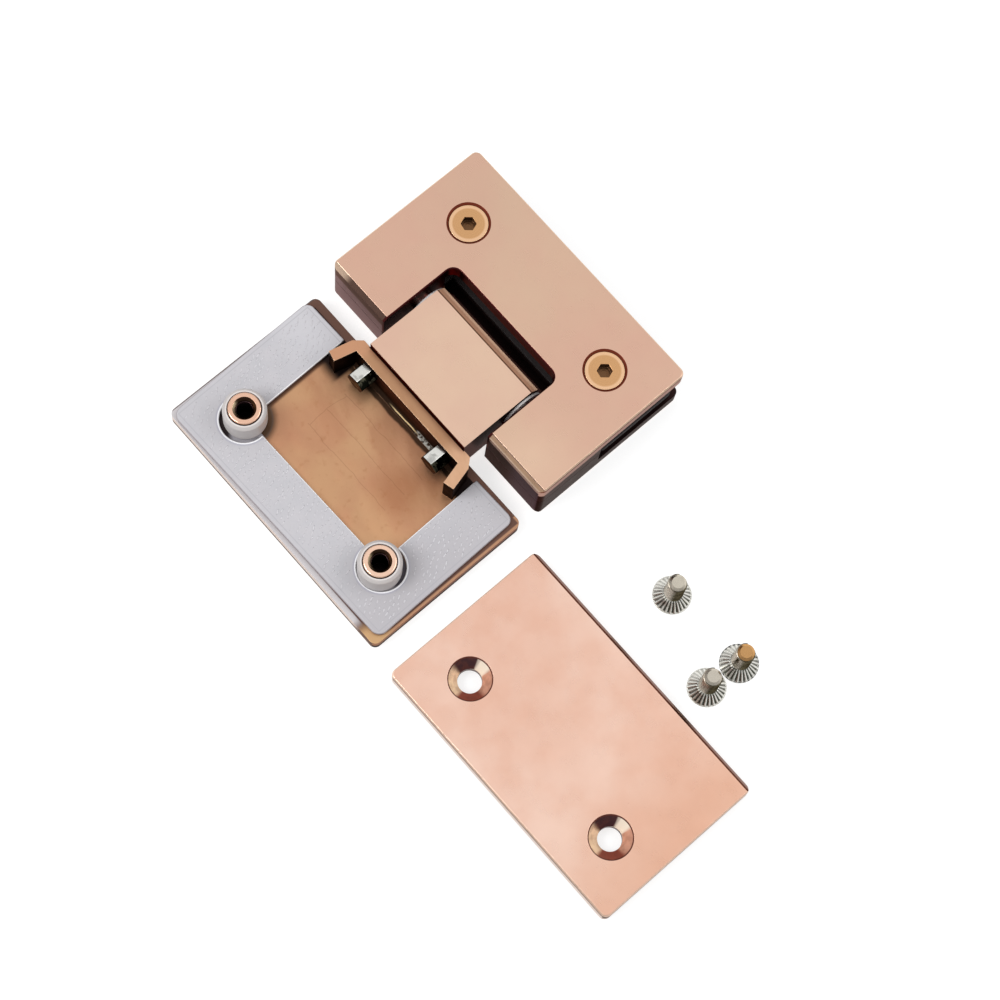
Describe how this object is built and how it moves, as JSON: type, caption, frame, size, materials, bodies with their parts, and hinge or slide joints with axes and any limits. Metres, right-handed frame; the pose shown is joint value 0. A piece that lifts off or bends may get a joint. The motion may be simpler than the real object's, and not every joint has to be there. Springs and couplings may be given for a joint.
{
  "type": "glass door hinge",
  "caption": "Glass-to-glass shower door hinge in rose gold metal, opened for fitting, with its cover plate, gaskets and countersunk cover screws beside it.",
  "frame": {"origin": "centre of the back face of the fixed leaf's base plate, on the floor", "axes": "+X from the fixed leaf towards the door leaf, +Y along the pivot and up as mounted, +Z out of the base plate towards the open side"},
  "size_m": [0.1183, 0.1888, 0.021],
  "materials": {
    "rose_gold": "polished rose gold plating, faintly brushed",
    "raw_copper": "satin copper tone inner faces, stained",
    "nickel": "bright nickel plating",
    "spring_steel": "plain drawn wire",
    "gasket": "pale grey, embossed with short flecks",
    "dark_gasket": "dark brown rubber, smooth",
    "sleeve": "pale grey moulded",
    "washer": "white, smooth"
  },
  "bodies": {
    "fixed_leaf": {"fixed_base_plate": "raw_copper", "fixed_gasket": "gasket", "fixed_post_upper": "raw_copper", "fixed_post_lower": "raw_copper", "fixed_sleeve_upper": "sleeve", "fixed_sleeve_lower": "sleeve", "pivot_block": "rose_gold", "block_bolt_upper": "nickel", "block_bolt_lower": "nickel", "plunger_spring_upper": "spring_steel", "plunger_spring_lower": "spring_steel", "cover_plate": "rose_gold", "cover_gasket": "gasket", "cover_screw_1": "nickel", "cover_screw_2": "nickel", "cover_screw_3": "nickel"},
    "door_leaf": {"pivot_pin": "nickel", "pivot_washer_upper": "washer", "pivot_washer_lower": "washer", "door_back_plate": "rose_gold", "door_front_plate": "rose_gold", "door_back_gasket": "dark_gasket", "door_front_gasket": "dark_gasket", "door_post_upper": "raw_copper", "door_post_lower": "raw_copper", "door_sleeve_upper": "sleeve", "door_sleeve_lower": "sleeve", "door_screw_upper": "rose_gold", "door_screw_lower": "rose_gold"},
    "upper_plunger": {"plunger_upper": "nickel"},
    "lower_plunger": {"plunger_lower": "nickel"}
  },
  "joints": [
    {"name": "door_swing", "type": "hinge", "parent": "fixed_leaf", "child": "door_leaf", "pos_m": [0.0486, 0, 0.0105], "axis": [0, 1, 0], "range_deg": [-90, 90]},
    {"name": "upper_plunger_slide", "type": "slide", "parent": "fixed_leaf", "child": "upper_plunger", "axis": [1, 0, 0], "range_m": [0, 0.0004], "stiffness_N_per_m": 1000, "springref_m": 0.003},
    {"name": "lower_plunger_slide", "type": "slide", "parent": "fixed_leaf", "child": "lower_plunger", "axis": [1, 0, 0], "range_m": [0, 0.0004], "stiffness_N_per_m": 1000, "springref_m": 0.003}
  ]
}
